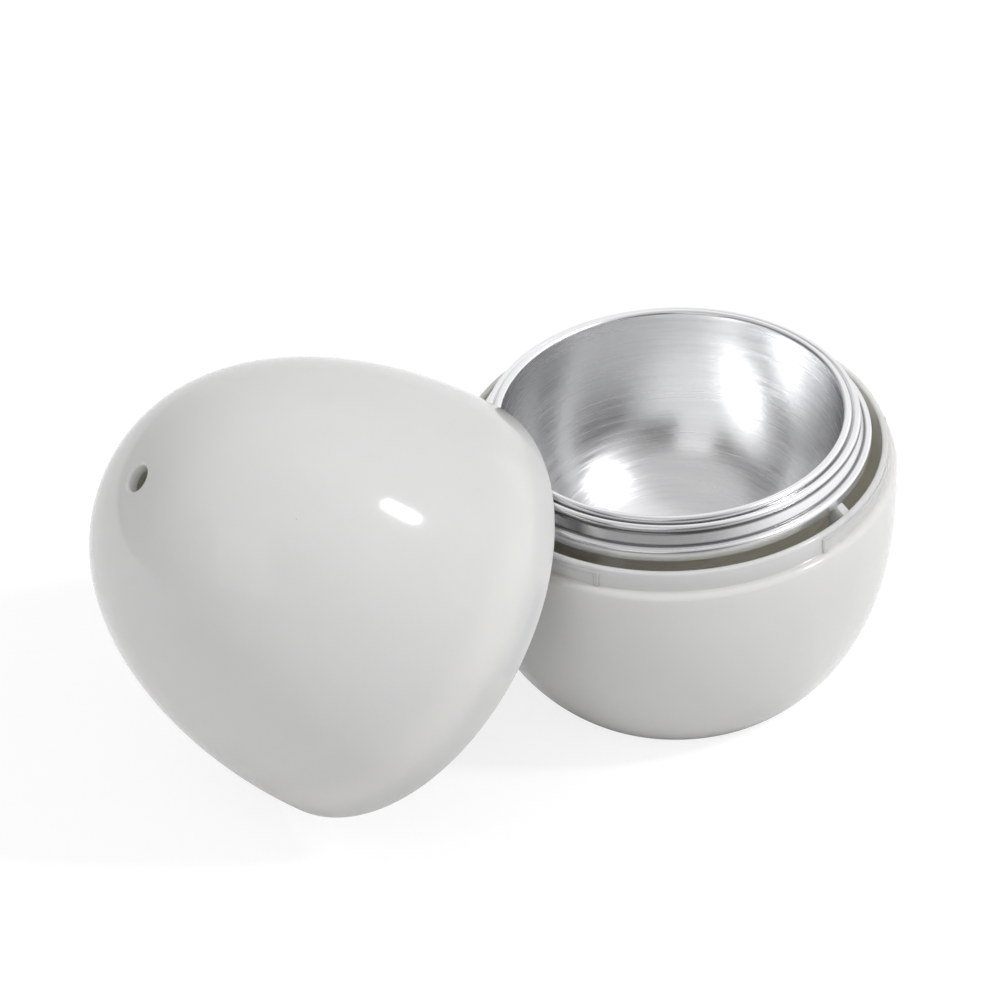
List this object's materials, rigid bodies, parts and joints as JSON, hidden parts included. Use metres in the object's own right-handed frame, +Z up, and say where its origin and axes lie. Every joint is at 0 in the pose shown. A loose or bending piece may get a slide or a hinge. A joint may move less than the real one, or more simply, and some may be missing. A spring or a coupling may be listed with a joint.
{
  "type": "microwave egg cooker",
  "caption": "Egg-shaped microwave egg cooker in white plastic, opened: an aluminium insert cup stands in the pot, and the aluminium-lined pointed lid with a steam vent leans on its rim.",
  "frame": {"origin": "centre of the pot's flat base, on the table", "axes": "+Z up along the pot's own axis; +X to the right as seen from the front, with the lid lying towards -X; +Y to the back"},
  "size_m": [0.1253, 0.0869, 0.0705],
  "materials": {
    "white_plastic": "glossy moulded polypropylene",
    "spun_aluminium": "spun and polished, with fine turning lines"
  },
  "bodies": {
    "root": {"outer_cup": "white_plastic", "insert_cup": "spun_aluminium", "lid_shell": "white_plastic", "lid_liner": "spun_aluminium"}
  },
  "joints": []
}
